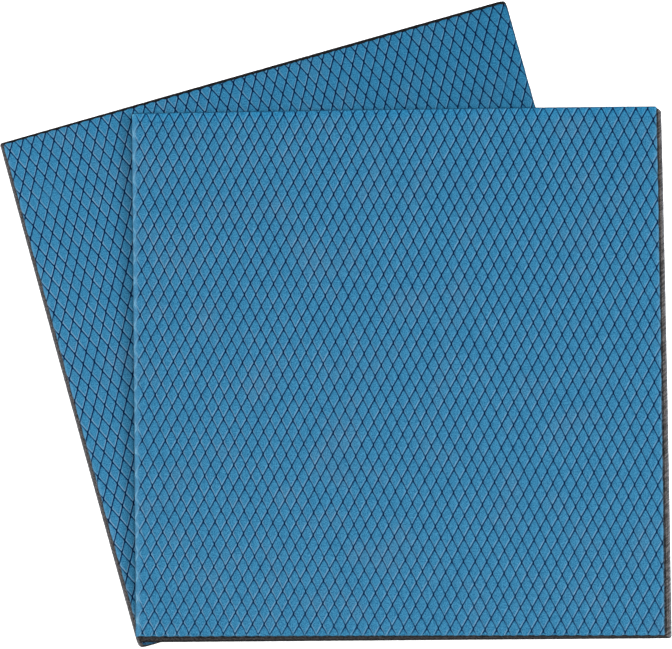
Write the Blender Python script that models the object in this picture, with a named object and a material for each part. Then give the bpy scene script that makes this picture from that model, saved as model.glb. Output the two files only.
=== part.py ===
"""A pair of flexible magnetic pads for cleaning aquarium and pond glass.

One pad goes on each side of the glass and each drags the other along. A pad is a thin square of
layers: a blue embossed scrubbing face on a dark cushion, a sheet of flexible magnet and a grey back
skin, the magnet being bonded by a film of adhesive on each side. Both pads are cut from the same sheet
stock by a tilted knife, so their walls lean.

The pads lie flat, one on the other, fanned out like two cards about the corner they share. The origin
is the centre of the lower (rear) pad's back, +Z points up out of the blue faces, and the sides of the
upper (front) pad lie along X and Y.
"""

from math import cos, radians, sin

import bmesh
import bpy
from mathutils import Matrix, Vector

MM = 0.001

# The pad, seen from its blue face.
PAD_SIDE = 100 * MM
CORNER_RADIUS = 0.9 * MM
CORNER_STEPS = 5
BACK_SHIFT = Vector((1.05 * MM, -0.78 * MM, 0))  # how far the leaning walls carry the back from the face

# The layers from the back up, with the thickness of each.
LAYERS = (
    ("back_skin", 0.80 * MM),
    ("back_adhesive", 0.08 * MM),
    ("magnet_sheet", 1.00 * MM),
    ("face_adhesive", 0.08 * MM),
    ("cushion_layer", 0.60 * MM),
    ("scrub_face", 0.34 * MM),
)
LAYER_GAP = 0.02 * MM
PAD_THICKNESS = sum(thick for _, thick in LAYERS) + LAYER_GAP * (len(LAYERS) - 1)

# The fan: the two pads turn on each other about a point just inside the corner they share.
FAN_ANGLE = radians(15.2)
PIVOT_FROM_LEFT = 7.1 * MM
PIVOT_FROM_BOTTOM = 2.9 * MM
PAD_GAP = 0.10 * MM

# name: colour (linear RGB), roughness
FINISHES = {
    "scrub_face": ((0.040, 0.225, 0.420), 0.75),
    "cushion_layer": ((0.012, 0.013, 0.015), 0.90),
    "face_adhesive": ((0.110, 0.105, 0.090), 0.45),
    "magnet_sheet": ((0.062, 0.055, 0.052), 0.80),
    "back_adhesive": ((0.110, 0.105, 0.090), 0.45),
    "back_skin": ((0.150, 0.150, 0.165), 0.85),
}


def clear_scene():
    for obj in list(bpy.data.objects):
        bpy.data.objects.remove(obj, do_unlink=True)


def new_collection(name):
    collection = bpy.data.collections.new(name)
    bpy.context.scene.collection.children.link(collection)
    return collection


def make_material(name):
    colour, roughness = FINISHES[name]
    material = bpy.data.materials.new(name)
    material.use_nodes = True
    shader = material.node_tree.nodes["Principled BSDF"]
    shader.inputs["Base Color"].default_value = (*colour, 1)
    shader.inputs["Roughness"].default_value = roughness
    shader.inputs["Metallic"].default_value = 0
    return material


def turned(vector, angle):
    """The vector turned about +Z by this angle."""
    return Vector(
        (
            vector.x * cos(angle) - vector.y * sin(angle),
            vector.x * sin(angle) + vector.y * cos(angle),
            vector.z,
        )
    )


def layer_mesh(name, bottom, thick):
    """A rounded square sheet whose walls lean, placed about the centre of the pad's back."""
    slab = bmesh.new()
    bmesh.ops.create_cube(slab, size=1)
    bmesh.ops.scale(slab, vec=(PAD_SIDE, PAD_SIDE, thick), verts=slab.verts)
    upright = [
        edge
        for edge in slab.edges
        if abs(edge.verts[0].co.z - edge.verts[1].co.z) > thick / 2
    ]
    bmesh.ops.bevel(
        slab,
        geom=upright,
        offset=CORNER_RADIUS,
        offset_type="OFFSET",
        segments=CORNER_STEPS,
        profile=0.5,
        affect="EDGES",
    )
    bmesh.ops.translate(slab, vec=(0, 0, bottom + thick / 2), verts=slab.verts)
    lean = Matrix.Identity(4)
    lean[0][2] = -BACK_SHIFT.x / PAD_THICKNESS
    lean[1][2] = -BACK_SHIFT.y / PAD_THICKNESS
    bmesh.ops.transform(slab, matrix=lean, verts=slab.verts)
    mesh = bpy.data.meshes.new(name)
    slab.to_mesh(mesh)
    slab.free()
    return mesh


def add_empty(name, location, angle, collection):
    empty = bpy.data.objects.new(name, None)
    empty.location = location
    empty.rotation_euler = (0, 0, angle)
    empty.empty_display_size = PAD_SIDE / 10
    collection.objects.link(empty)
    return empty


def add_pad(side, holder, back_centre, materials, collection):
    """The layers of one pad, parented to holder, with the centre of the pad's back at back_centre in it."""
    bottom = 0.0
    for layer, thick in LAYERS:
        name = f"{side}_{layer}"
        mesh = layer_mesh(name, bottom, thick)
        mesh.materials.append(materials[layer])
        piece = bpy.data.objects.new(name, mesh)
        piece.parent = holder
        piece.location = back_centre
        collection.objects.link(piece)
        bottom += thick + LAYER_GAP


def main():
    clear_scene()
    pads = new_collection("magnetic_glass_cleaner")
    materials = {name: make_material(name) for name in FINISHES}

    # The rear pad is the same piece as the front one, turned half a turn and then by the fan angle.
    rear_turn = FAN_ANGLE + radians(180)
    rear_holder = add_empty("rear_pad", (0, 0, 0), rear_turn, pads)
    add_pad("rear", rear_holder, Vector((0, 0, 0)), materials, pads)

    rear_face_centre = turned(-BACK_SHIFT, rear_turn)
    corner_to_centre = Vector(
        (PAD_SIDE / 2 - PIVOT_FROM_LEFT, PAD_SIDE / 2 - PIVOT_FROM_BOTTOM, 0)
    )
    pivot = rear_face_centre - turned(corner_to_centre, FAN_ANGLE)
    pivot.z = PAD_THICKNESS + PAD_GAP
    front_holder = add_empty("front_pad_pivot", pivot, 0, pads)
    add_pad("front", front_holder, corner_to_centre + BACK_SHIFT, materials, pads)


main()
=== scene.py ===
"""The looks of the magnetic glass cleaner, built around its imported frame.

Two square laminated pads lie fanned on a white table. Each pad is built here again, layer by layer, in
its own coordinates: millimetres, X and Y from the centre of its blue face, and height above its back.
The blue skin carries the embossed diamonds as real grooves, and the cut walls show the layers below it.
"""

from math import ceil, cos, floor, pi, radians, sin, tan

import bmesh
import bpy
import numpy as np
from mathutils import Matrix, Vector, noise


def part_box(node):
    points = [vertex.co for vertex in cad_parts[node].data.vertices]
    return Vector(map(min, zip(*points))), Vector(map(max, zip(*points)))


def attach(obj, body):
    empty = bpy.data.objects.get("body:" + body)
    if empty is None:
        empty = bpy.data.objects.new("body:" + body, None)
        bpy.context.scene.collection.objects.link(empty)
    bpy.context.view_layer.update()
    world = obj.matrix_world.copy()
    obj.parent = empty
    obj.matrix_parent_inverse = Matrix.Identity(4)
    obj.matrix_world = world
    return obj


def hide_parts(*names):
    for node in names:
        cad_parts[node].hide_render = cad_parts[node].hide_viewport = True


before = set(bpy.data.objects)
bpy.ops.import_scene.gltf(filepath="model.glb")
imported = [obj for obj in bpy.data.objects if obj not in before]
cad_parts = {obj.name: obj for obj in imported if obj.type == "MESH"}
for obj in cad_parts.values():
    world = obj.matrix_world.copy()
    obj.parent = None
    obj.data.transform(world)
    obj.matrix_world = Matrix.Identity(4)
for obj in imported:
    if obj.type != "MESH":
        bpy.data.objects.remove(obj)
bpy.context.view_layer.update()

MM = 0.001

# ---------------------------------------------------------------- the pads' outlines
# Lengths are in millimetres. Four values for a pad stand for its corners: lower left, lower right, upper
# left and upper right.

FAN_ANGLE = radians(15.2)
PAD_TURN = {"front": 0.0, "rear": FAN_ANGLE + pi}
HALF = 50.0  # half of the pad's side
SKIN_RADIUS = 0.35  # at the corners of the blue skin
BODY_RADIUS = 0.5  # and of the layers below it
SAME_LEVEL = 0.01  # points of a CAD layer this close in height lie in one face
CORNERS = np.array(((-1, -1), (1, -1), (-1, 1), (1, 1)))

# how far hand cutting left each corner from true, at the face and then what the back adds to it
CORNER_DRIFT = {
    "front": (
        ((-0.04, 0.40), (-0.18, -0.31), (-0.31, 0.0), (-0.08, -0.05)),
        ((-0.45, -0.52), (0.56, 0.07), (0.40, -0.25), (0.10, 0.45)),
    ),
    "rear": (
        ((-0.34, 0.34), (-0.02, 0.14), (0.0, 0.0), (-0.10, -0.10)),
        ((-1.3, -0.25), (-0.13, -0.08), (0.0, 0.0), (0.02, 1.08)),
    ),
}
# how far each corner is worn back in X and in Y, and how near to it the wear shows
CORNER_WEAR = {"front": (0.0, 0.0, 0.0, 0.0), "rear": (0.168, 0.0, 0.0, 0.21)}
WEAR_REACH = 0.8
# how far a side bows out halfway along, at the face and what the back adds, and the share of the pad's
# half width over which the bow builds up
BULGE = {
    "front": {"right": (0.15, 0.0, 1.0), "top": (0.12, 0.0, 0.2)},
    "rear": {"right": (0.03, 0.08, 1.0), "bottom": (0.02, 0.03, 0.2)},
}

# each side of the square, and how the knife rolled the blue skin over there
SIDES = {
    "left": {"normal": (-1, 0), "width": 1.10, "drop": 0.42},
    "top": {"normal": (0, 1), "width": 0.50, "drop": 0.16},
    "right": {"normal": (1, 0), "width": 0.14, "drop": 0.05},
    "bottom": {"normal": (0, -1), "width": 0.70, "drop": 0.14},
}

# ---------------------------------------------------------------- the embossing

# wide and tall are the diamond's diagonals, as length and direction; phase places the first grooves
EMBOSSING = {
    "front": {"wide": (2.198, -1.52), "tall": (4.338, 87.84), "phase": (0.100, 0.398)},
    "rear": {"wide": (2.192, -1.62), "tall": (4.338, 87.66), "phase": (0.488, 0.118)},
}
# between two grooves of one direction, and half the diagonals, near enough for the shades beside a groove
LINE_SPACING = 1.96
HALF_DIAGONALS = (1.1, 2.17)
CELL_STEPS = (0.0, 0.07, 0.16, 0.5, 0.84, 0.93)  # where mesh lines run across one diamond
GROOVE_DEPTH = 0.22
GROOVE_WIDTH = 0.12
GROOVE_FLATNESS = 1.6  # the higher it is, the flatter a groove's floor and the steeper its walls
NODE_SIZE = (0.13, 0.38)  # where two grooves cross, a short slot runs up the diamond
PILLOW = 0.02  # how much higher a diamond's middle is than its sides

DRAWN_LENGTH = 28.0  # over this much of its lower end the front pad's diamonds are drawn upwards
DRAWN_SHIFT = {"front": 0.376, "rear": 0.0}
BOW = {"front": 0.0, "rear": -0.22}  # how far the pattern moves in X at the left and at the right side
PATTERN_DRIFT = {  # how far the pattern is off true at each corner
    "front": ((0.17, 0.0), (0.12, 0.03), (0.13, 0.05), (-0.06, -0.08)),
    "rear": ((0.25, -0.12), (0.12, -0.13), (0.12, 0.0), (-0.03, -0.19)),
}
WANDER = 0.05  # how far the grooves stray from true
WANDER_LENGTH = 3.1
SEED_STEPS = (17.3, 5.1, 9.7)  # how far apart in the noise two seeds lie
PATTERN_SEED = {"front": 6, "rear": 5}
PINCH = (1.0, 0.6)  # how much of its spread each run of grooves loses where they cross
PINCH_SIZE = (0.36, 0.62)
PINCHED_WIDTH = 0.08  # only this close to the groove's middle
HOOK = {"front": 0.20, "rear": 0.0}  # how far the falling grooves bow between crossings, at the lower left
HOOK_WIDTH = 0.35

# the distances from each side over which the grooves come up to their full depth
FADE = {
    "front": {"left": (0.40, 1.35), "top": (-0.30, 0.50), "right": (-2.0, -1.0), "bottom": (0.05, 0.50)},
    "rear": {"left": (-0.20, 0.50), "top": (-0.30, 0.50), "right": (-2.0, -1.0), "bottom": (-0.40, 0.20)},
}
EMBOSS_LOSS = {"front": 0.15, "rear": -0.10}  # how much weaker the grooves are at the lower end
# where the grooves are worn shallow: place, size and share of depth lost
WORN_SPOTS = {"front": (), "rear": ((-45.7, -34.5, 1.6, 0.45), (43.9, -38.1, 2.2, 0.45))}

# ---------------------------------------------------------------- painted light and shade over a pad, and its paler rolled sides

SKIN_PAINTED_LIGHT = {"front": (1.03, 1.0, 1.03, 0.97), "rear": (0.83, 1.09, 0.90, 1.08)}  # painted light: how light the blue is at each corner
PAINTED_SHEEN_LOSS = {"front": (0.0, 0.0, 0.10, 0.30), "rear": (0.8, 0.1, 0.4, -0.1)}  # painted sheen: how much of it is missing at each corner, which deepens the hue
# bands along the sides, each with its width: painted sheen loss that deepens the hue, painted shade at the
# edge, and a paler roll
SHEEN_LOSS_EDGE = {"front": {"top": 2.6}, "rear": {}}
EDGE_SHADE_BANDS = {"front": {"top": 0.26}, "rear": {"left": 0.26, "top": 1.1}}
PALE_LIP = {"front": {"left": 1.5, "right": 0.3}, "rear": {"right": 0.3}}
FULL_WITHIN = 0.1  # such a band has its full strength this close to the side
# painted light and shade: how light the cut walls are painted on each side, for the foam and for the other
# layers
WALL_PAINTED_LIGHT = {
    "front": {"right": (1.3, 1.1), "bottom": (1.3, 1.2)},
    "rear": {"right": (4.6, 1.7), "bottom": (0.2, 0.2)},
}


def smoothstep(low, high, value):
    share = np.clip((value - low) / (high - low), 0, 1)
    return share * share * (3 - 2 * share)


def direction(length, degrees):
    return np.array((length * cos(radians(degrees)), length * sin(radians(degrees))))


def turned(vectors, angle):
    turn = np.array(((cos(angle), -sin(angle)), (sin(angle), cos(angle))))
    return vectors @ turn.T


def noise_at(points, scale, seed):
    """Smooth noise in -1..1 at each point, for features about scale millimetres long."""
    shift = Vector([seed * step for step in SEED_STEPS])
    return np.array([noise.noise(Vector(p) / scale + shift) for p in points])


def between_corners(flat, corners):
    """The value at each point of the square when its corners have these values."""
    across, up = (flat.T / HALF + 1) / 2
    weights = np.stack(((1 - across) * (1 - up), across * (1 - up), (1 - across) * up, across * up), -1)
    return weights @ np.array(corners, float)


class Pad:
    """Where one pad lies, how its walls lean and how its embossing runs."""

    def __init__(self, side):
        self.side = side
        self.body = f"{side}_pad"
        self.turn = PAD_TURN[side]
        self.floor_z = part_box(f"{side}_back_skin")[0].z / MM
        self.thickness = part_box(f"{side}_scrub_face")[1].z / MM - self.floor_z
        self.face_centre = self.level_centre("scrub_face", top=True)
        back_centre = self.level_centre("back_skin", top=False)
        self.lean = turned(back_centre - self.face_centre, -self.turn)
        wide = direction(*EMBOSSING[side]["wide"])
        tall = direction(*EMBOSSING[side]["tall"])
        self.from_cell = np.column_stack(((wide + tall) / 2, (tall - wide) / 2))
        self.to_cell = np.linalg.inv(self.from_cell)
        self.phase = np.array(EMBOSSING[side]["phase"])
        self.spacing = 1 / np.linalg.norm(self.to_cell, axis=1)

    def level_centre(self, layer, top):
        """Centre of the layer's top or bottom face, in millimetres."""
        low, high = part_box(f"{self.side}_{layer}")
        level = high.z if top else low.z
        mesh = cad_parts[f"{self.side}_{layer}"].data
        points = np.array([v.co[:2] for v in mesh.vertices if abs(v.co.z - level) < SAME_LEVEL * MM])
        return (points.min(0) + points.max(0)) / 2 / MM

    def heights(self, layer):
        """The layer's lowest and highest points above the pad's back."""
        low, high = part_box(f"{self.side}_{layer}")
        return low.z / MM - self.floor_z, high.z / MM - self.floor_z

    def place(self, points):
        """Pad points (x, y, height) carried to the frame, in metres, with the walls leaning."""
        square = points[:, :2]
        depth = 1 - points[:, 2:3] / self.thickness  # 0 at the face and 1 at the back
        face_drift, back_drift = (between_corners(square, drift) for drift in CORNER_DRIFT[self.side])
        flat = square + face_drift + depth * (self.lean + back_drift)
        for name, (face_bulge, back_bulge, reach) in BULGE[self.side].items():
            normal = np.array(SIDES[name]["normal"])
            out, along = square @ normal / HALF, square @ normal[::-1] / HALF
            build = np.clip((out - 1) / reach + 1, 0, 1) * (1 - along**2)
            flat += np.outer((face_bulge + depth[:, 0] * back_bulge) * build, normal)
        for corner, extent in zip(CORNERS, CORNER_WEAR[self.side]):
            from_corner = np.linalg.norm(square - corner * HALF, axis=1)
            flat -= np.outer(extent * np.exp(-((from_corner / WEAR_REACH) ** 2)), corner)
        flat = turned(flat, self.turn) + self.face_centre
        return np.column_stack((flat, points[:, 2] + self.floor_z)) * MM

    def drawn(self, flat, cell):
        """Where a point of the true pattern ends up on the pad."""
        offset = cell - np.round(cell)
        from_node = offset @ self.from_cell.T
        near = np.exp(-((from_node / PINCH_SIZE) ** 2).sum(axis=1))
        on_line = np.exp(-((offset * self.spacing / PINCHED_WIDTH) ** 2))
        near *= np.clip(on_line @ PINCH, 0, 1)
        flat = flat - np.column_stack((from_node[:, 0] * near, np.zeros(len(flat))))
        hook = np.sin(pi * cell[:, 1]) ** 2 * np.exp(-((offset[:, 0] * self.spacing[0] / HOOK_WIDTH) ** 2))
        lower_left = (2 - flat.sum(axis=1) / HALF) / 4
        flat[:, 0] += HOOK[self.side] * hook * lower_left**2

        low_share = np.clip((DRAWN_LENGTH - HALF - flat[:, 1]) / DRAWN_LENGTH, 0, None)
        moved = flat.copy()
        moved[:, 1] += DRAWN_SHIFT[self.side] * low_share**2
        moved[:, 0] += BOW[self.side] * (flat[:, 0] / HALF) ** 2
        moved += between_corners(flat, PATTERN_DRIFT[self.side])
        spots = np.column_stack((flat, np.zeros(len(flat))))
        for axis in (0, 1):
            moved[:, axis] += WANDER * noise_at(spots, WANDER_LENGTH, PATTERN_SEED[self.side] + axis)
        return moved

    def groove(self, cell):
        """Share of the full groove depth at these cell coordinates."""
        offset = cell - np.round(cell)
        line = np.exp(-((np.abs(offset) * self.spacing / GROOVE_WIDTH) ** GROOVE_FLATNESS))
        node = np.exp(-((offset @ self.from_cell.T / NODE_SIZE) ** 2).sum(axis=1))
        return 1 - (1 - line[:, 0]) * (1 - line[:, 1]) * (1 - node)


# ---------------------------------------------------------------- the blue face's surface


def side_distance(flat, name):
    return HALF - flat @ np.array(SIDES[name]["normal"], float)


def along_sides(flat, widths):
    """A share that is 1 at the named sides and 0 this far inside them."""
    share = np.zeros(len(flat))
    for name, width in widths.items():
        share = np.maximum(share, smoothstep(width, FULL_WITHIN, side_distance(flat, name)))
    return share


def groove_strength(pad, flat):
    """How deep the grooves are near the rolled sides and in worn spots, as a share."""
    share = 1 - EMBOSS_LOSS[pad.side] * (1 - flat[:, 1] / HALF) / 2
    for x, y, size, loss in WORN_SPOTS[pad.side]:
        share *= 1 - loss * np.exp(-(((flat - (x, y)) / size) ** 2).sum(axis=1))
    for name, fade in FADE[pad.side].items():
        share *= smoothstep(*fade, side_distance(flat, name))
    return share


def roll_drop(flat):
    """How far the blue skin dips towards its rolled sides."""
    drop = np.zeros(len(flat))
    for name, side in SIDES.items():
        reach = np.clip(1 - side_distance(flat, name) / side["width"], 0, 1)
        drop += side["drop"] * (1 - np.sqrt(1 - reach**2))
    return drop


def face_height(pad, flat, cell):
    """Height of the embossed skin above the pad's back."""
    groove = pad.groove(cell) * groove_strength(pad, flat)
    domed = np.abs(np.sin(pi * cell[:, 0]) * np.sin(pi * cell[:, 1]))
    return pad.thickness - GROOVE_DEPTH * groove - PILLOW * (1 - domed) - roll_drop(flat)


# ---------------------------------------------------------------- cut walls

SCALLOP_WIDTH = 0.42  # of the dent that each groove leaves in the seams below it
NOTCH = (0.05, 0.10)  # the skin's edge stands out between grooves and draws back at each one
LEFT_NOTCH = 0.6  # how much of that its left side shows
SEAM_WAVE = {"scrub_face": 0.16, "cushion_layer": 0.14, "face_adhesive": 0.12}
SEAM_GAP = 0.015  # between a waving seam and the layer below it
CAP_INSET = 0.35  # the flat faces of a layer start this far inside its wall
WALL_STEP = 0.45  # between the points round a layer's wall
ARC_STEPS = 6  # round each of its corners
SHARP_ANGLE = radians(40)
WALL_SEED = {"front": 16, "rear": 15}
# the knife's drag, in broad waves and in finer upright streaks: share, size, squeeze in height, seed step
DRAG = ((0.6, 0.9, 1.0, 0), (0.4, 0.28, 0.3, 3))


def outward(flat):
    """Outward normals of the rounded square at points on its outline."""
    inner = HALF - BODY_RADIUS
    corner = np.sign(flat) * np.clip(np.abs(flat) - inner, 0, None)
    length = np.linalg.norm(corner, axis=1, keepdims=True)
    return corner / np.maximum(length, 1e-6)


def scallop(pad, flat):
    """How far the embossing presses the seams below it down at the wall, from 0 to 1."""
    cell = pad.to_cell @ flat.T + pad.phase[:, None]
    away = np.abs(cell - np.round(cell)).T * pad.spacing
    return np.exp(-((away / SCALLOP_WIDTH) ** 2)).max(axis=1)


def seam_height(pad, layer, flat, low):
    """Height of the lower edge of a layer along the wall."""
    wave = SEAM_WAVE.get(layer, 0)
    return low - wave * scallop(pad, flat) if wave else np.full(len(flat), low)


def roughened(pad, points, amount):
    """Wall points pushed in and out by the knife's drag."""
    push = np.zeros(len(points))
    for share, size, squeeze, step in DRAG:
        push += share * noise_at(points * (1, 1, squeeze), size, WALL_SEED[pad.side] + step)
    moved = points.copy()
    moved[:, :2] += outward(points[:, :2]) * (push * amount)[:, None]
    return moved


def painted_wall_light(pad, facing, layer):
    """How light the wall is painted at points facing this way: painted light and shade."""
    tone = np.ones(len(facing))
    for name, (foam, others) in WALL_PAINTED_LIGHT[pad.side].items():
        side_light = foam if layer == "cushion_layer" else others
        tone += np.clip(facing @ SIDES[name]["normal"], 0, 1) * (side_light - 1)
    return tone


# ---------------------------------------------------------------- meshes

GRID_MARGIN = 3  # the grid of the blue face reaches this far past the pad's sides
KEPT_MARGIN = 1.5  # and is kept up to here
CUT_REACH = 3  # a cut along a side or a corner looks this far for faces
BAND_REACH = 1.6
CUT_SNAP = 1e-5  # points this close to a cut are taken to lie on it
SKIN_ARC_STEPS = 3
# extra mesh lines along the rolled sides, at these distances inside them
BAND_LINES = {
    "left": (0.12, 0.3, 0.6, 1.1),
    "top": (0.1, 0.25, 0.5),
    "right": (0.14,),
    "bottom": (0.12, 0.28, 0.55),
}
# the skin below its rim: the share of the edge's height at which each ring of points lies, and how far inside
SKIN_RINGS = ((0.5, 0.0), (1.0, 0.0), (1.0, 0.4))
UNDERSIDE_LIFT = 0.01  # of its flat underside above the CAD layer's


def new_piece(name, mesh, pad, layer, slot, *materials):
    for material in materials:
        mesh.materials.append(material)
    mesh.polygons.foreach_set("use_smooth", np.ones(len(mesh.polygons), bool))
    piece = bpy.data.objects.new(name, mesh)
    bpy.context.scene.collection.objects.link(piece)
    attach(piece, pad.body)
    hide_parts(f"{pad.side}_{layer}")
    return piece


def lattice_grid(pad):
    """A flat mesh whose lines follow the grooves, a little larger than the pad."""
    corners = np.array(((-1, -1), (-1, 1), (1, 1), (1, -1))) * (HALF + GRID_MARGIN)
    cells = corners @ pad.to_cell.T + pad.phase
    lines = []
    for low, high in zip(cells.min(0), cells.max(0)):
        whole = np.arange(floor(low), ceil(high))
        lines.append(np.add.outer(whole, CELL_STEPS).ravel())
    columns, rows = len(lines[0]), len(lines[1])
    cell = np.column_stack((np.repeat(lines[0], rows), np.tile(lines[1], columns)))
    flat = (cell - pad.phase) @ pad.from_cell.T
    index = np.arange(columns * rows).reshape(columns, rows)
    quads = np.stack((index[:-1, :-1], index[1:, :-1], index[1:, 1:], index[:-1, 1:]), -1).reshape(-1, 4)
    near = (np.abs(flat[quads].mean(1)) < HALF + KEPT_MARGIN).all(1)
    used, quads = np.unique(quads[near], return_inverse=True)
    return flat[used], cell[used], quads.reshape(-1, 4)


def cut(slab, normal, distance, within, clear):
    """Cuts the mesh along a line, and drops what lies beyond it if clear is set."""
    faces = [f for f in slab.faces if within(f.calc_center_median())]
    parts = set(faces)
    for face in faces:
        parts.update(face.verts)
        parts.update(face.edges)
    normal = Vector((*normal, 0))
    bmesh.ops.bisect_plane(
        slab,
        geom=list(parts),
        dist=CUT_SNAP,
        plane_co=normal * distance,
        plane_no=normal,
        clear_outer=clear,
    )


def trim_to_outline(slab):
    """Cuts the grid to the rounded square and adds lines where its sides roll over."""
    for name, side in SIDES.items():
        normal = Vector((*side["normal"], 0))
        cut(slab, side["normal"], HALF, lambda c: c.dot(normal) > HALF - CUT_REACH, True)
        for distance in BAND_LINES[name]:
            place = HALF - distance
            cut(slab, side["normal"], place, lambda c: abs(c.dot(normal) - place) < BAND_REACH, False)
    inner = HALF - SKIN_RADIUS
    for corner in range(4):
        diagonal = corner * pi / 2 + pi / 4
        middle = Vector((cos(diagonal), sin(diagonal), 0)) * inner * 2**0.5
        for step in range(SKIN_ARC_STEPS):
            angle = (corner + (step + 0.5) / SKIN_ARC_STEPS) * pi / 2
            normal = Vector((cos(angle), sin(angle), 0))
            distance = middle.dot(normal) + SKIN_RADIUS
            cut(slab, normal[:2], distance, lambda c: (c - middle).length < CUT_REACH, True)


def embossed_slab(pad):
    """The top of the blue skin as an open mesh, each point with its place in the pattern of cells."""
    flat, cell, quads = lattice_grid(pad)
    flat = pad.drawn(flat, cell)
    grid = bpy.data.meshes.new("lattice_grid")
    grid.from_pydata(np.column_stack((flat, np.zeros(len(flat)))).tolist(), [], quads.tolist())
    slab = bmesh.new()
    slab.from_mesh(grid)
    bpy.data.meshes.remove(grid)
    cell_a = slab.verts.layers.float.new("cell_a")
    cell_b = slab.verts.layers.float.new("cell_b")
    for vert, (a, b) in zip(slab.verts, cell):
        vert[cell_a], vert[cell_b] = a, b
    trim_to_outline(slab)

    slab.verts.ensure_lookup_table()
    flat = np.array([v.co[:2] for v in slab.verts])
    cell = np.array([(v[cell_a], v[cell_b]) for v in slab.verts])
    facing = 1 if cos(pad.turn) > 0 else -1  # so that the painted rim highlights of both pads face the same way
    for vert, z in zip(slab.verts, face_height(pad, flat, cell)):
        vert.co.z = z
        vert[cell_a] *= facing
        vert[cell_b] *= facing
    return slab


def notch_rim(pad, verts):
    """Draws the skin's cut edge back at each groove: at the right and bottom, and less at the left."""
    flat = np.array([v.co[:2] for v in verts])
    away = outward(flat)
    notch = NOTCH[0] - (NOTCH[0] + NOTCH[1]) * scallop(pad, flat)
    notch *= np.clip(away @ (1, -1), 0, 1) + LEFT_NOTCH * np.clip(-away[:, 0], 0, 1)
    for vert, (x, y) in zip(verts, flat + away * notch[:, None]):
        vert.co.x, vert.co.y = x, y


def close_slab(pad, slab):
    """Adds the skin's thin cut edge and its flat underside, with the second material."""
    low, _ = pad.heights("scrub_face")
    rim = [e for e in slab.edges if e.is_boundary]
    for edge in rim:
        edge.smooth = False
    notch_rim(pad, list({v for e in rim for v in e.verts}))
    below = []
    for drop_share, inset in SKIN_RINGS:
        made = bmesh.ops.extrude_edge_only(slab, edges=rim)["geom"]
        verts = [g for g in made if isinstance(g, bmesh.types.BMVert)]
        rim = [g for g in made if isinstance(g, bmesh.types.BMEdge) and g.is_boundary]
        below += [g for g in made if isinstance(g, bmesh.types.BMFace)]
        points = np.array([v.co for v in verts])
        foot = seam_height(pad, "scrub_face", points[:, :2], low)
        if inset:
            points[:, :2] -= outward(points[:, :2]) * inset
            points[:, 2] = low + UNDERSIDE_LIFT
        else:
            points[:, 2] += (foot - points[:, 2]) * drop_share
        for vert, point in zip(verts, points):
            vert.co = point
    below += bmesh.ops.contextual_create(slab, geom=rim)["faces"]
    for face in below:
        face.material_index = 1
    bmesh.ops.recalc_face_normals(slab, faces=slab.faces)


def add_embossed_face(pad, skin, edge):
    """The blue skin: grooves and pillows on top, a thin cut edge, and a flat underside."""
    slab = embossed_slab(pad)
    close_slab(pad, slab)
    slab.verts.ensure_lookup_table()
    points = np.array([v.co for v in slab.verts])
    flat = points[:, :2]
    # besides groove depth and the pale lip, these carry painted light and shade: the edge shade, the cut
    # edge's light, and the blue's light and sheen
    shades = {
        "groove_strength": groove_strength(pad, flat),
        "pale_lip": along_sides(flat, PALE_LIP[pad.side]),
        "edge_shade": along_sides(flat, EDGE_SHADE_BANDS[pad.side]),
        "tone": painted_wall_light(pad, outward(flat), "scrub_face"),
        "painted_skin_light": between_corners(flat, SKIN_PAINTED_LIGHT[pad.side]),
        "sheen_loss": between_corners(flat, PAINTED_SHEEN_LOSS[pad.side]) + along_sides(flat, SHEEN_LOSS_EDGE[pad.side]),
    }
    for name, values in shades.items():
        shade = slab.verts.layers.float.new(name)
        for vert, value in zip(slab.verts, values):
            vert[shade] = value
    for vert, point in zip(slab.verts, pad.place(points)):
        vert.co = point
    name = f"{pad.side}_embossed_face"
    mesh = bpy.data.meshes.new(name)
    slab.to_mesh(mesh)
    slab.free()
    return new_piece(name, mesh, pad, "scrub_face", "scrub_face", skin, edge)


def outline(step):
    """Points round the rounded square, anticlockwise, about step millimetres apart."""
    inner = HALF - BODY_RADIUS
    points = []
    for corner in range(4):
        start = corner * pi / 2
        middle = direction(inner * 2**0.5, 45 + 90 * corner)
        for k in range(ARC_STEPS + 1):
            angle = start + k / ARC_STEPS * pi / 2
            points.append(middle + BODY_RADIUS * np.array((cos(angle), sin(angle))))
        along = np.array((cos(start + pi), sin(start + pi)))
        count = int(2 * inner / step)
        first = points[-1]
        points += [first + along * 2 * inner * k / count for k in range(1, count)]
    return np.array(points)


def add_layer(pad, layer, slot, above, rows, rough, material):
    """A plain layer of the laminate: rough cut walls between flat faces."""
    low, high = pad.heights(layer)
    ring = outline(WALL_STEP)
    count = len(ring)
    foot = seam_height(pad, layer, ring, low)
    head = np.full(count, high)
    if above in SEAM_WAVE:
        head = seam_height(pad, above, ring, high) - SEAM_GAP
    inset = ring - outward(ring) * CAP_INSET
    rings = [np.column_stack((inset, np.full(count, foot.min())))]
    for row in range(rows + 1):
        level = foot + (head - foot) * row / rows
        rings.append(roughened(pad, np.column_stack((ring, level)), rough))
    rings.append(np.column_stack((inset, np.full(count, head.min()))))
    points = np.concatenate(rings)

    index = np.arange(len(points)).reshape(len(rings), count)
    after = np.roll(index, -1, axis=1)
    walls = np.stack((index[:-1], after[:-1], after[1:], index[1:]), -1).reshape(-1, 4)
    faces = walls.tolist() + [index[0][::-1].tolist(), index[-1].tolist()]
    name = f"{pad.side}_{layer}_cut"
    mesh = bpy.data.meshes.new(name)
    mesh.from_pydata(pad.place(points).tolist(), [], faces)
    facing = outward(points[:, :2])
    # painted light and shade on the walls, set by the side each point faces
    shades = {"right_side": np.clip(facing[:, 0], 0, 1), "tone": painted_wall_light(pad, facing, layer)}
    for shade, values in shades.items():
        mesh.attributes.new(shade, "FLOAT", "POINT").data.foreach_set("value", values)
    piece = new_piece(name, mesh, pad, layer, slot, material)
    mesh.set_sharp_from_angle(angle=SHARP_ANGLE)
    return piece


# ---------------------------------------------------------------- materials
# Colours are sRGB, 0 to 255. Sizes are in millimetres.

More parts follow.
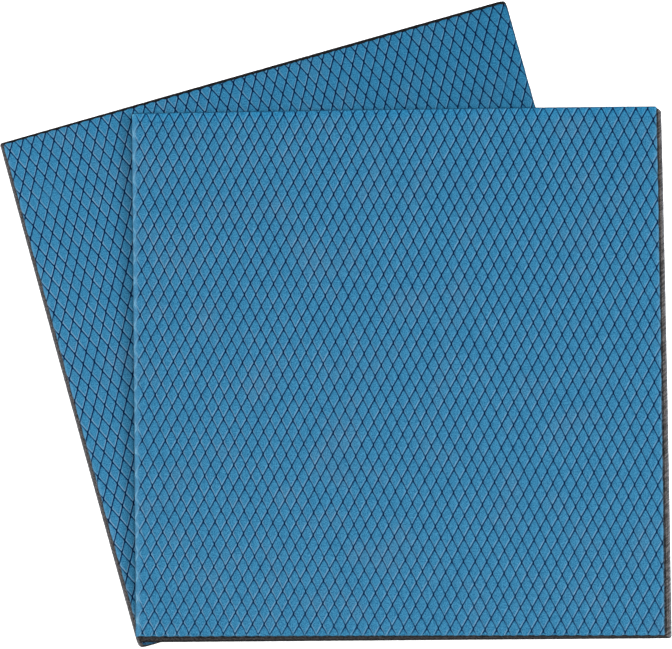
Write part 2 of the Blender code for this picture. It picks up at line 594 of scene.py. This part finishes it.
BLUE_MOTTLE = ((30, 113, 156), (48, 126, 169))
BLUE_GRAIN = ((0, 66, 110), (92, 170, 209))
# painted highlight on the diamonds' lower rims
RIM_PAINTED_HIGHLIGHT = (140, 174, 202)
# paler blue along the rolled sides and in their grooves
LIP_PALE_BLUE = (104, 163, 202)
LIP_GROOVE_PALE_BLUE = (136, 196, 226)
DUST = (130, 122, 118)
# painted shade along some of the skin's cut edges
EDGE_SHADE_BLUE = (30, 70, 98)
# painted groove shade, partly navy dye pooled in the grooves and at their crossings
GROOVE_SHADE_NAVY = (2, 40, 82)
NODE_SHADE_NAVY = (2, 24, 56)
SHEEN_LOSS_TINT = (0.68, 1.02, 1.08, 1)  # where the painted sheen is missing, red, green and blue are multiplied by these

GRAIN_SHARE = 0.5  # how strongly each shade covers what is below it
LIP_SHARE = 0.45
LIP_GROOVE_SHARE = 0.75
DUST_SHARE = 0.06
EDGE_SHADE_SHARE = 0.85
MOTTLE_SIZE = 0.6
GRAIN_SIZE = 0.13
GRAIN_SQUEEZE = (1, 0.5, 1)  # below 1 draws the grain out along that axis
DUST_SIZE = 8.0
SURFACE_GRAIN = 0.16
SURFACE_BUMP = (0.35, 0.03)  # strength, and depth in millimetres
WALL_BUMP = (0.5, 0.05)

# the noise values between which a noise goes from its first tone or share to its last
NOISE_SPAN = (0.35, 0.65)
MOTTLE_SPAN = (0.35, 0.68)
GRAIN_SPAN = (0.32, 0.68)
DUST_SPAN = (0.52, 0.72)
RIM_PATCH_SPAN = (0.3, 0.7)

# the grooves' painted shade: falling and rising grooves take different shares of it, as light from one side
# shades them differently
LINE_CORE = 0.05  # this close to its middle a groove's painted shade is at its darkest
FALLING_REACH = 0.165  # and this far from it the painted shade ends
RISING_REACH = 0.19
LINE_FADE = (0.35, 0.9)  # distances from a crossing between which the first of these shares turns to the last
FALLING_SHARES = (0.95, 0.72)
RISING_SHARES = (1.0, 0.92)
LINE_PATCH_SIZE = 5.0
LINE_PATCH_SHARE = 0.10
SLOT_REACH = (2.4, 0.7)  # where a slot's painted shade starts and is full, as a squared share of its size

# the painted highlight inside each diamond's lower sides, patchy and varying across the table
RIM_REACH = (0.12, 0.18, 0.36)  # distances from the groove where a rim starts, is palest and ends
RIM_TOP = (0.20, -0.15)  # where it starts and is full, as a height in the diamond from -1 to 1
RIM_LEFT_RISE = 0.25  # how much higher that is at the diamond's left end
RIM_RISE_SPAN = (0.3, 0.9)  # where it rises, from -1 at the diamond's right end to 1 at its left
RIM_HALVES = (-0.1, 0.1)  # and where the right half turns to the left one
RIM_RIGHT_SHARE = 0.85
RIM_LEFT_SHARES = (1.1, 0.3)  # at the left and right ends of the table's span
RIM_TABLE_SPAN = (-0.05, 0.06)  # in metres
RIM_PATCH_SIZE = 4.0
RIM_PATCH_SHARES = (0.30, 0.85)

WALL_STREAK = 0.45  # the size of the slanting streaks that the knife left on the walls
STREAK_SHARES = (0.50, 1.50)
STREAK_SLANT = 0.35


def srgb(r, g, b):
    """The linear colour of an sRGB one, given in 0 to 255."""

    def linear(c):
        c /= 255
        return c / 12.92 if c <= 0.04045 else ((c + 0.055) / 1.055) ** 2.4

    return (linear(r), linear(g), linear(b), 1)


class Graph:
    """Short forms for wiring shader nodes."""

    def __init__(self, tree):
        self.tree = tree

    def node(self, kind, **settings):
        made = self.tree.nodes.new(kind)
        for key, value in settings.items():
            setattr(made, key, value)
        return made

    def join(self, source, target):
        """Links a socket to another, or sets a plain value on it."""
        if isinstance(source, bpy.types.NodeSocket):
            self.tree.links.new(source, target)
        else:
            target.default_value = source

    def math(self, operation, *values):
        made = self.node("ShaderNodeMath", operation=operation)
        for socket, value in zip(made.inputs, values):
            self.join(value, socket)
        return made.outputs[0]

    def product(self, first, *others):
        for other in others:
            first = self.math("MULTIPLY", first, other)
        return first

    def mix(self, share, first, second):
        made = self.node("ShaderNodeMix", data_type="RGBA")
        for place, value in ((0, share), (6, first), (7, second)):
            self.join(value, made.inputs[place])
        return made.outputs[2]

    def mix_values(self, share, first, second):
        made = self.node("ShaderNodeMix", data_type="FLOAT")
        for place, value in ((0, share), (2, first), (3, second)):
            self.join(value, made.inputs[place])
        return made.outputs[0]

    def scaled(self, vector, share):
        made = self.node("ShaderNodeVectorMath", operation="SCALE")
        self.join(vector, made.inputs[0])
        self.join(share, made.inputs["Scale"])
        return made.outputs[0]

    def vector_product(self, first, second):
        made = self.node("ShaderNodeVectorMath", operation="MULTIPLY")
        self.join(first, made.inputs[0])
        self.join(second, made.inputs[1])
        return made.outputs[0]

    def ramp(self, value, low, high, first=0.0, last=1.0):
        """A smooth step from first to last as the value goes from low to high."""
        made = self.node("ShaderNodeMapRange", interpolation_type="SMOOTHSTEP")
        for socket, item in zip(made.inputs, (value, low, high, first, last)):
            self.join(item, socket)
        return made.outputs[0]

    def attribute(self, name):
        return self.node("ShaderNodeAttribute", attribute_name=name).outputs["Fac"]

    def coords(self):
        return self.node("ShaderNodeTexCoord").outputs["Object"]

    def noise(self, scale, detail=2.0, rough=0.5, coords=None):
        """Noise in 0 to 1 whose features are about scale millimetres long."""
        made = self.node("ShaderNodeTexNoise")
        self.join(coords or self.coords(), made.inputs["Vector"])
        for name, value in {"Scale": 1 / (scale * MM), "Detail": detail, "Roughness": rough}.items():
            made.inputs[name].default_value = value
        return made.outputs["Fac"]

    def bump(self, height, strength, distance):
        made = self.node("ShaderNodeBump")
        self.join(height, made.inputs["Height"])
        made.inputs["Strength"].default_value = strength
        made.inputs["Distance"].default_value = distance * MM
        return made.outputs["Normal"]


def new_material(name, roughness, specular):
    material = bpy.data.materials.new(name)
    material.use_nodes = True
    shader = material.node_tree.nodes["Principled BSDF"]
    shader.inputs["Roughness"].default_value = roughness
    shader.inputs["Specular IOR Level"].default_value = specular
    return material, shader, Graph(material.node_tree)


def groove_distances(g, inside):
    """Distances to the nearest falling and to the nearest rising groove."""
    outside = [g.math("SUBTRACT", 1.0, share) for share in inside]
    return [g.product(g.math("MINIMUM", *pair), LINE_SPACING) for pair in zip(inside, outside)]


def groove_shade_lines(g, away):
    """How much painted shade a groove gets, a little more in some places and less halfway between crossings.
    """
    patchy = g.ramp(g.noise(LINE_PATCH_SIZE), *NOISE_SPAN, -LINE_PATCH_SHARE, LINE_PATCH_SHARE)
    falling_share = g.math("ADD", patchy, g.ramp(away[1], *LINE_FADE, *FALLING_SHARES))
    rising_share = g.math("SUBTRACT", g.ramp(away[0], *LINE_FADE, *RISING_SHARES), patchy)
    falling = g.product(g.ramp(away[0], FALLING_REACH, LINE_CORE), falling_share)
    rising = g.product(g.ramp(away[1], RISING_REACH, LINE_CORE), rising_share)
    return g.math("MAXIMUM", falling, rising)


def crossing_slot_shades(g):
    """The painted shade in the slots where two grooves cross."""
    from_node = [g.math("WRAP", g.attribute(name), 0.5, -0.5) for name in ("cell_a", "cell_b")]
    across = g.product(g.math("SUBTRACT", *from_node), HALF_DIAGONALS[0] / NODE_SIZE[0])
    along = g.product(g.math("ADD", *from_node), HALF_DIAGONALS[1] / NODE_SIZE[1])
    squares = [g.product(length, length) for length in (across, along)]
    return g.ramp(g.math("ADD", *squares), *SLOT_REACH)


def painted_rim_highlights(g, inside, nearest):
    """A painted highlight inside each diamond's lower sides. Its left half fades towards the right of the
    table.
    """
    height_in_cell = g.math("SUBTRACT", g.math("ADD", *inside), 1.0)
    leftward = g.math("SUBTRACT", inside[1], inside[0])
    start, peak, end = RIM_REACH
    beside_groove = g.product(g.ramp(nearest, start, peak), g.ramp(nearest, end, peak))
    raised = g.ramp(leftward, *RIM_RISE_SPAN, 0.0, RIM_LEFT_RISE)
    lower_half = g.ramp(g.math("SUBTRACT", height_in_cell, raised), *RIM_TOP)
    place = g.node("ShaderNodeSeparateXYZ")
    g.join(g.coords(), place.inputs[0])
    rightward = g.ramp(place.outputs["X"], *RIM_TABLE_SPAN)
    left_share = g.ramp(rightward, 0, 1, *RIM_LEFT_SHARES)
    side_share = g.mix_values(g.ramp(leftward, *RIM_HALVES), RIM_RIGHT_SHARE, left_share)
    extent = g.ramp(g.noise(RIM_PATCH_SIZE), *RIM_PATCH_SPAN, *RIM_PATCH_SHARES)
    return g.product(beside_groove, lower_half, side_share, extent)


def mottled_blue(g):
    """Soft patches under a fine grain that is drawn out along Y."""
    patches = g.noise(MOTTLE_SIZE, detail=3.0, rough=0.6)
    mottle = g.mix(g.ramp(patches, *MOTTLE_SPAN), *(srgb(*tone) for tone in BLUE_MOTTLE))
    drawn_out = g.vector_product(g.coords(), GRAIN_SQUEEZE)
    grain = g.noise(GRAIN_SIZE, rough=0.6, coords=drawn_out)
    grained = g.mix(g.ramp(grain, *GRAIN_SPAN), *(srgb(*tone) for tone in BLUE_GRAIN))
    return g.mix(GRAIN_SHARE, mottle, grained)


def make_blue_skin():
    """Blue rubber: mottled diamonds, navy grooves with painted shade, and a painted highlight on the near
    sides of each diamond.
    """
    material, shader, g = new_material("blue_skin", 0.62, 0.05)
    inside = [g.math("FRACT", g.attribute(name)) for name in ("cell_a", "cell_b")]
    away = groove_distances(g, inside)
    line = groove_shade_lines(g, away)
    lip = g.attribute("pale_lip")
    strength = g.attribute("groove_strength")
    dust = g.ramp(g.noise(DUST_SIZE), *DUST_SPAN)

    layers = (
        # a painted highlight on the diamonds' lower rims
        (painted_rim_highlights(g, inside, g.math("MINIMUM", *away)), RIM_PAINTED_HIGHLIGHT),
        (g.product(lip, LIP_SHARE), LIP_PALE_BLUE),
        (g.product(line, lip, LIP_GROOVE_SHARE), LIP_GROOVE_PALE_BLUE),
        (g.product(dust, DUST_SHARE), DUST),
        # painted shade along some of the skin's cut edges
        (g.product(g.attribute("edge_shade"), EDGE_SHADE_SHARE), EDGE_SHADE_BLUE),
        # painted shade in the grooves, partly navy dye pooled there, and painted shade in the slots where
        # they cross
        (g.product(line, strength), GROOVE_SHADE_NAVY),
        (g.product(crossing_slot_shades(g), strength), NODE_SHADE_NAVY),
    )
    colour = mottled_blue(g)
    for share, tone in layers:
        colour = g.mix(share, colour, srgb(*tone))

    # painted light over the skin: where the painted sheen is missing the hue deepens, and the blue is lighter
    # or darker towards the corners
    tint = g.mix(g.attribute("sheen_loss"), (1, 1, 1, 1), SHEEN_LOSS_TINT)
    colour = g.vector_product(colour, g.scaled(tint, g.attribute("painted_skin_light")))
    g.join(colour, shader.inputs["Base Color"])
    surface = g.noise(SURFACE_GRAIN, detail=3.0, rough=0.65)
    g.join(g.bump(surface, *SURFACE_BUMP), shader.inputs["Normal"])
    return material


def make_wall(name, dark, light, grain, shaded=1.0, roughness=0.85):
    """A cut edge: two tones mixed by grain of this size, times the painted light of each side, and times
    shaded, a painted shade, on the sides that don't face right.
    """
    material, shader, g = new_material(name, roughness, 0.1)
    fine = g.noise(grain, detail=4.0, rough=0.65)
    colour = g.mix(g.ramp(fine, *NOISE_SPAN), srgb(*dark), srgb(*light))
    spot = g.node("ShaderNodeSeparateXYZ")
    g.join(g.coords(), spot.inputs[0])
    slanted = g.node("ShaderNodeCombineXYZ")
    for axis in ("X", "Y"):
        moved = g.math("MULTIPLY_ADD", spot.outputs["Z"], STREAK_SLANT, spot.outputs[axis])
        g.join(moved, slanted.inputs[axis])
    streaks = g.ramp(g.noise(WALL_STREAK, coords=slanted.outputs[0]), *NOISE_SPAN, *STREAK_SHARES)
    side_shade = g.ramp(g.attribute("right_side"), 0.0, 1.0, shaded, 1.0)
    colour = g.scaled(colour, g.product(streaks, g.attribute("tone"), side_shade))
    g.join(colour, shader.inputs["Base Color"])
    g.join(g.bump(fine, *WALL_BUMP), shader.inputs["Normal"])
    return material


# ---------------------------------------------------------------- stage
# Here lengths are in metres.

TABLE_HALF = 3.0
TABLE_DROP = 0.0001  # the table lies this far below the pads
TABLE_GLOW = 0.75  # what the camera sees of the table is lifted to white
SEEN_WHITE = (0.9, 0.9, 0.9, 1)
BOUNCED_GREY = (0.35, 0.35, 0.35, 1)  # the table's colour for the light it throws back on the pads
SURROUND = 0.30
LAMP_SIZE = 0.25
LAMPS = {  # place and power
    "softbox": ((0.07, -0.05, 0.75), 2.8),
    "right": ((0.50, 0.00, 0.58), 2.1),
    "left": ((-0.75, 0.00, 0.30), 0.6),
}
CAMERA_DISTANCE = 0.6407
CAMERA_TILT = (radians(1.77), radians(-3.83))
CAMERA_TARGET = Vector((-0.01161, 0.00942))  # from the centre of the front pad
CAMERA_ROLL = radians(0.556)
CAMERA_LENS = 178.9


def add_lamp(name, place, power):
    lamp = bpy.data.lights.new(name, "AREA")
    lamp.size = LAMP_SIZE
    lamp.energy = power
    holder = bpy.data.objects.new(name, lamp)
    holder.location = place
    holder.rotation_euler = (-Vector(place)).to_track_quat("-Z", "Y").to_euler()
    bpy.context.scene.collection.objects.link(holder)


def add_table():
    material, shader, g = new_material("white_table", 0.9, 0.2)
    seen = g.node("ShaderNodeLightPath").outputs["Is Camera Ray"]
    g.join(g.mix(seen, BOUNCED_GREY, SEEN_WHITE), shader.inputs["Base Color"])
    shader.inputs["Emission Color"].default_value = (1, 1, 1, 1)
    g.join(g.product(seen, TABLE_GLOW), shader.inputs["Emission Strength"])
    mesh = bpy.data.meshes.new("table")
    corners = [(x * TABLE_HALF, y * TABLE_HALF, 0) for x, y in ((-1, -1), (1, -1), (1, 1), (-1, 1))]
    mesh.from_pydata(corners, [], [(0, 1, 2, 3)])
    mesh.materials.append(material)
    table = bpy.data.objects.new("table", mesh)
    table.location.z = -TABLE_DROP
    bpy.context.scene.collection.objects.link(table)


def add_stage():
    """A plain white table, soft light and a pale surround."""
    add_table()
    world = bpy.data.worlds.new("surround")
    world.use_nodes = True
    background = world.node_tree.nodes["Background"]
    background.inputs["Color"].default_value = (1, 1, 1, 1)
    background.inputs["Strength"].default_value = SURROUND
    bpy.context.scene.world = world
    for name, (place, power) in LAMPS.items():
        add_lamp(name, place, power)
    bpy.context.scene.view_settings.view_transform = "Standard"


def add_camera(front):
    """Nearly straight above the pads, a little to their lower right."""
    target = Vector((front.face_centre[0] * MM, front.face_centre[1] * MM, 0)) + CAMERA_TARGET.to_3d()
    back = Vector((tan(CAMERA_TILT[0]), tan(CAMERA_TILT[1]), 1)).normalized()
    up = Vector((sin(CAMERA_ROLL), cos(CAMERA_ROLL), 0))
    right = up.cross(back).normalized()
    up = back.cross(right)
    data = bpy.data.cameras.new("camera")
    data.lens = CAMERA_LENS
    data.sensor_width = 36
    data.clip_start = 0.01
    camera = bpy.data.objects.new("camera", data)
    turn = Matrix((right, up, back)).transposed().to_4x4()
    camera.matrix_world = Matrix.Translation(target + back * CAMERA_DISTANCE) @ turn
    bpy.context.scene.collection.objects.link(camera)
    bpy.context.scene.camera = camera


# ---------------------------------------------------------------- all of it

# after the grain size: how much of the wall a painted shade leaves on sides that don't face right, then the
# roughness
adhesive = make_wall("adhesive_film", (44, 44, 45), (64, 63, 62), 0.4, 0.6, 0.45)
cushion = make_wall("cushion_foam", (12, 14, 17), (64, 63, 65), 0.45)
magnet = make_wall("magnet_cut_edge", (64, 61, 61), (121, 116, 115), 0.28, 0.5)
grey_back = make_wall("grey_back_skin", (98, 99, 103), (134, 135, 140), 0.35, 0.15)

# the layers below the blue skin: name, slot, the layer above if its seam waves, rows of points up the wall,
# how rough the cut is, and the material
LAYERS = (
    ("cushion_layer", "cushion", "scrub_face", 3, 0.06, cushion),
    ("face_adhesive", "adhesive", "cushion_layer", 1, 0.05, adhesive),
    ("magnet_sheet", "magnet_sheet", "face_adhesive", 4, 0.05, magnet),
    ("back_adhesive", "adhesive", None, 1, 0.05, adhesive),
    ("back_skin", "back_skin", None, 3, 0.03, grey_back),
)

blue_skin = make_blue_skin()
skin_edge = make_wall("skin_cut_edge", (46, 74, 92), (70, 98, 116), 0.2)
pads = {side: Pad(side) for side in ("rear", "front")}
for pad in pads.values():
    add_embossed_face(pad, blue_skin, skin_edge)
    for layer in LAYERS:
        add_layer(pad, *layer)
add_camera(pads["front"])
add_stage()
